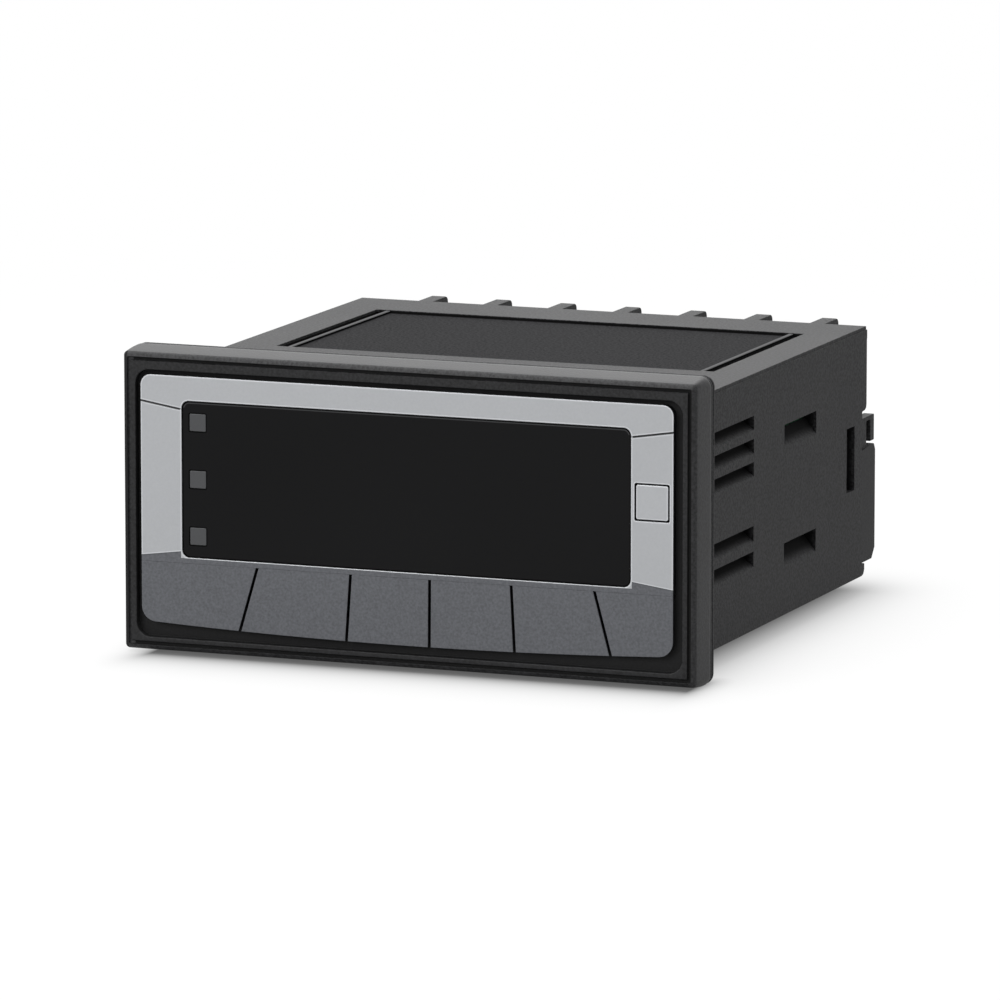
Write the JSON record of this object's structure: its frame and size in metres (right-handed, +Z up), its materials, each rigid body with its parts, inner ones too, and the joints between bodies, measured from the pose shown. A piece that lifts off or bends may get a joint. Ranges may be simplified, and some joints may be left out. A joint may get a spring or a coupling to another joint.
{
  "type": "digital panel meter",
  "caption": "Panel-mounted digital meter: dark bezel with silver face, black display window and pressable key fields, long vented case, rear screw terminals between fins and a plug-in block.",
  "frame": {"origin": "centre of the panel cut-out, in the plane of the panel's front face, where the gasket seats", "axes": "+X to the right as seen from the front, +Y back through the panel along the case, +Z up"},
  "size_m": [0.096, 0.0967, 0.048],
  "materials": {
    "case": "fine-grained moulded charcoal",
    "bezel": "fine-grained moulded charcoal",
    "gasket": "soft satin",
    "panel": "silver satin film over dark plastic",
    "keys": "dark grey satin, finely grained",
    "lens": "smoked, smooth",
    "light_guide": "unlit, frosted grey",
    "label": "fine dark texture",
    "board": "glass-fibre board with solder mask",
    "digit": "dark display module",
    "switch": "black switch body",
    "led": "pale encapsulated chip",
    "header": "black header",
    "chip": "black epoxy",
    "core": "varnished laminations",
    "relay": "blue housing",
    "capacitor": "printed sleeve over a can",
    "fuse": "glass tube with metal caps",
    "contact": "plain",
    "steel": "bright zinc",
    "pin": "plain"
  },
  "bodies": {
    "meter": {"case_shell": "case", "bezel_frame": "bezel", "panel_gasket": "gasket", "face_panel": "panel", "window_lens": "lens", "light_guide_1": "light_guide", "light_guide_2": "light_guide", "light_guide_3": "light_guide", "top_label_plate": "label", "display_board": "board", "digit_1": "digit", "digit_2": "digit", "digit_3": "digit", "digit_4": "digit", "digit_5": "digit", "key_switch_1": "switch", "key_switch_2": "switch", "key_switch_3": "switch", "key_switch_4": "switch", "key_switch_5": "switch", "key_switch_6": "switch", "key_switch_7": "switch", "indicator_leds": "led", "board_link": "header", "main_board": "board", "power_board": "board", "processor": "chip", "transformer": "core", "relay_1": "relay", "relay_2": "relay", "capacitor_1": "capacitor", "capacitor_2": "capacitor", "fuse": "fuse", "rear_cover": "case", "terminal_contacts": "contact", "terminal_clamps": "steel", "terminal_screws": "steel", "plug_pins": "pin"},
    "key_1": {"key_1": "keys"},
    "key_2": {"key_2": "keys"},
    "key_3": {"key_3": "keys"},
    "key_4": {"key_4": "keys"},
    "key_5": {"key_5": "keys"},
    "key_6": {"key_6": "keys"},
    "square_key": {"square_key": "panel"},
    "plug": {"plug_block": "case", "plug_screws": "steel"}
  },
  "joints": [
    {"name": "key_1_press", "type": "hinge", "parent": "meter", "child": "key_1", "pos_m": [-0.03536, -0.0071, -0.00935], "axis": [1, 0, 0], "range_deg": [0, 2.5], "stiffness_Nm_per_rad": 0.15},
    {"name": "key_2_press", "type": "hinge", "parent": "meter", "child": "key_2", "pos_m": [-0.01796, -0.0071, -0.00935], "axis": [1, 0, 0], "range_deg": [0, 2.5], "stiffness_Nm_per_rad": 0.15},
    {"name": "key_3_press", "type": "hinge", "parent": "meter", "child": "key_3", "pos_m": [-0.00287, -0.0071, -0.00935], "axis": [1, 0, 0], "range_deg": [0, 2.5], "stiffness_Nm_per_rad": 0.15},
    {"name": "key_4_press", "type": "hinge", "parent": "meter", "child": "key_4", "pos_m": [0.01073, -0.0071, -0.00935], "axis": [1, 0, 0], "range_deg": [0, 2.5], "stiffness_Nm_per_rad": 0.15},
    {"name": "key_5_press", "type": "hinge", "parent": "meter", "child": "key_5", "pos_m": [0.02496, -0.0071, -0.00935], "axis": [1, 0, 0], "range_deg": [0, 2.5], "stiffness_Nm_per_rad": 0.15},
    {"name": "key_6_press", "type": "hinge", "parent": "meter", "child": "key_6", "pos_m": [0.03806, -0.0071, -0.00935], "axis": [1, 0, 0], "range_deg": [0, 2.5], "stiffness_Nm_per_rad": 0.15},
    {"name": "square_key_press", "type": "slide", "parent": "meter", "child": "square_key", "axis": [0, 1, 0], "range_m": [0, 0.00025], "stiffness_N_per_m": 600},
    {"name": "plug_pull", "type": "slide", "parent": "meter", "child": "plug", "axis": [0, 1, 0], "range_m": [0, 0.012]}
  ]
}
